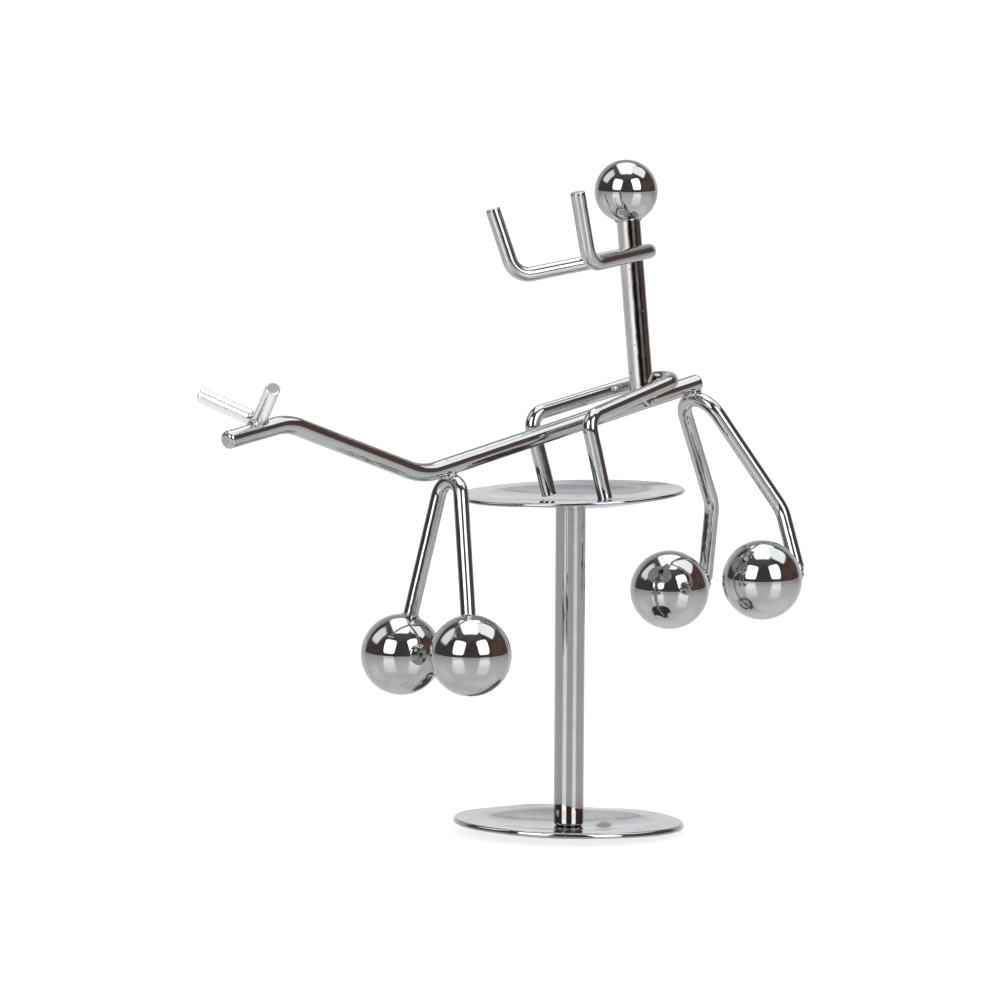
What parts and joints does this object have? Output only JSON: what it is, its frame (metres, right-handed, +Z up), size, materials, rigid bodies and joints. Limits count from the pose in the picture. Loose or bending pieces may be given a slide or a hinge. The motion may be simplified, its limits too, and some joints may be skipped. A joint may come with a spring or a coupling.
{
  "type": "balancing horse-and-rider ornament",
  "caption": "Balancing desk ornament: a chromed wire rider on a wire horse with weighted legs rocks on the top of a small round pedestal.",
  "frame": {"origin": "centre of the base disc's underside, on the table", "axes": "+Z up along the post, -X the way the horse and rider face, -Y their left side"},
  "size_m": [0.1361, 0.0521, 0.1338],
  "materials": {
    "disc": "polished",
    "post": "polished",
    "bar": "polished",
    "wire": "polished",
    "ball": "polished"
  },
  "bodies": {
    "stand": {"base_disc": "disc", "post": "post", "top_disc": "disc"},
    "figure": {"spine_bar": "bar", "ears": "wire", "front_legs": "wire", "rear_legs": "wire", "front_left_ball": "ball", "front_right_ball": "ball", "rear_left_ball": "ball", "rear_right_ball": "ball", "rider_legs": "wire", "torso": "bar", "arms": "wire", "head_ball": "ball"}
  },
  "joints": [
    {"name": "rocking", "type": "hinge", "parent": "stand", "child": "figure", "pos_m": [-0.0039, -0.0041, 0.0673], "axis": [0, 1, 0], "range_deg": [-20, 8]}
  ]
}
